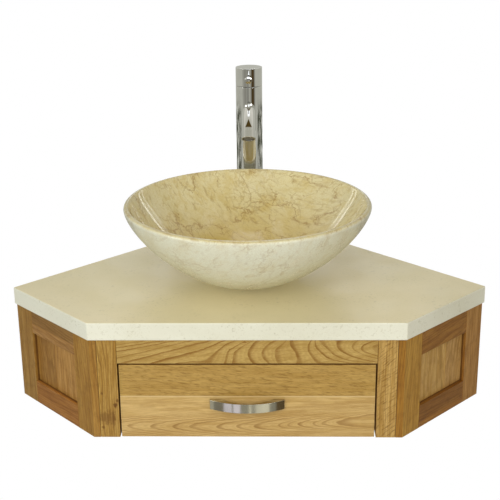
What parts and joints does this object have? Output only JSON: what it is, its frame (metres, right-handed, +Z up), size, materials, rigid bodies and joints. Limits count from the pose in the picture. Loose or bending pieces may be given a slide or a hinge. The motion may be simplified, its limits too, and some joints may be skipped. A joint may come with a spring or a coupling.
{
  "type": "corner vanity unit",
  "caption": "Wall-hung corner vanity unit in oak with a framed front, panelled sides, a wide drawer, a stone worktop, a round stone basin and a tall lever mixer tap.",
  "frame": {"origin": "the corner of the room, where the two walls meet, at the level of the cabinet's underside", "axes": "+Z up, -Y out of the drawer's front, away from the corner, +X to the right as seen from the front; the walls run along y = -x and y = x"},
  "size_m": [0.8052, 0.5732, 0.5308],
  "materials": {
    "oak": "satin lacquer over cathedral-grained oak",
    "oak_drawer": "satin lacquer over two glued oak boards",
    "oak_side": "satin lacquer over oak",
    "birch": "plain birch plywood",
    "worktop_stone": "honed cream limestone, fine specks",
    "basin_marble": "polished cream marble with tan veins inside, finely pitted outside",
    "chrome": "polished chrome plate",
    "brushed_steel": "brushed along its length",
    "zinc_steel": "zinc-plated steel",
    "brass": "plain brass",
    "rubber": "matte black rubber",
    "white_plastic": "moulded",
    "grey_plastic": "moulded"
  },
  "bodies": {
    "unit": {"aerator": "grey_plastic", "base_panel": "birch", "basin": "basin_marble", "cartridge_body": "white_plastic", "cartridge_nut": "chrome", "corner_post": "birch", "front_rail": "oak", "front_stile_left": "oak", "front_stile_right": "oak", "hanging_rail_left": "birch", "hanging_rail_right": "birch", "runner_carrier_left": "birch", "runner_carrier_right": "birch", "runner_rail_left": "zinc_steel", "runner_rail_right": "zinc_steel", "side_back_stile_left": "oak_side", "side_back_stile_right": "oak_side", "side_bottom_rail_left": "oak_side", "side_bottom_rail_right": "oak_side", "side_front_stile_left": "oak_side", "side_front_stile_right": "oak_side", "side_panel_left": "oak_side", "side_panel_right": "oak_side", "side_top_rail_left": "oak_side", "side_top_rail_right": "oak_side", "spout_collar": "chrome", "tap_base_ring": "chrome", "tap_body": "chrome", "tap_clamp_washer": "zinc_steel", "tap_spout": "chrome", "tap_stud": "zinc_steel", "tap_stud_nut": "zinc_steel", "wall_screw_corner_left": "zinc_steel", "wall_screw_corner_right": "zinc_steel", "wall_screw_front_left": "zinc_steel", "wall_screw_front_right": "zinc_steel", "waste_body": "chrome", "waste_nut": "brass", "waste_washer": "rubber", "worktop": "worktop_stone"},
    "drawer": {"drawer_front": "oak_drawer", "drawer_handle": "brushed_steel", "handle_screw_left": "zinc_steel", "handle_screw_right": "zinc_steel", "drawer_side_left": "birch", "drawer_side_right": "birch", "drawer_back_left": "birch", "drawer_back_right": "birch", "drawer_bottom": "birch", "drawer_well": "birch", "runner_slide_left": "zinc_steel", "runner_slide_right": "zinc_steel"},
    "tap_swivel": {"cartridge_rotor": "grey_plastic", "tilt_pin": "zinc_steel"},
    "tap_lift": {"tap_head": "chrome", "tap_lever": "chrome", "cartridge_stem": "brass"},
    "plug": {"waste_plug": "chrome"}
  },
  "joints": [
    {"name": "drawer_slide", "type": "slide", "parent": "unit", "child": "drawer", "axis": [0, -1, 0], "range_m": [0, 0.18]},
    {"name": "tap_temperature", "type": "hinge", "parent": "unit", "child": "tap_swivel", "pos_m": [0, -0.108, 0.4968], "axis": [0, 0, 1], "range_deg": [-45, 45]},
    {"name": "tap_flow", "type": "hinge", "parent": "tap_swivel", "child": "tap_lift", "pos_m": [0, -0.108, 0.4968], "axis": [-1, 0, 0], "range_deg": [0, 22]},
    {"name": "plug_push", "type": "slide", "parent": "unit", "child": "plug", "axis": [0, 0, -1], "range_m": [0, 0.008]}
  ]
}
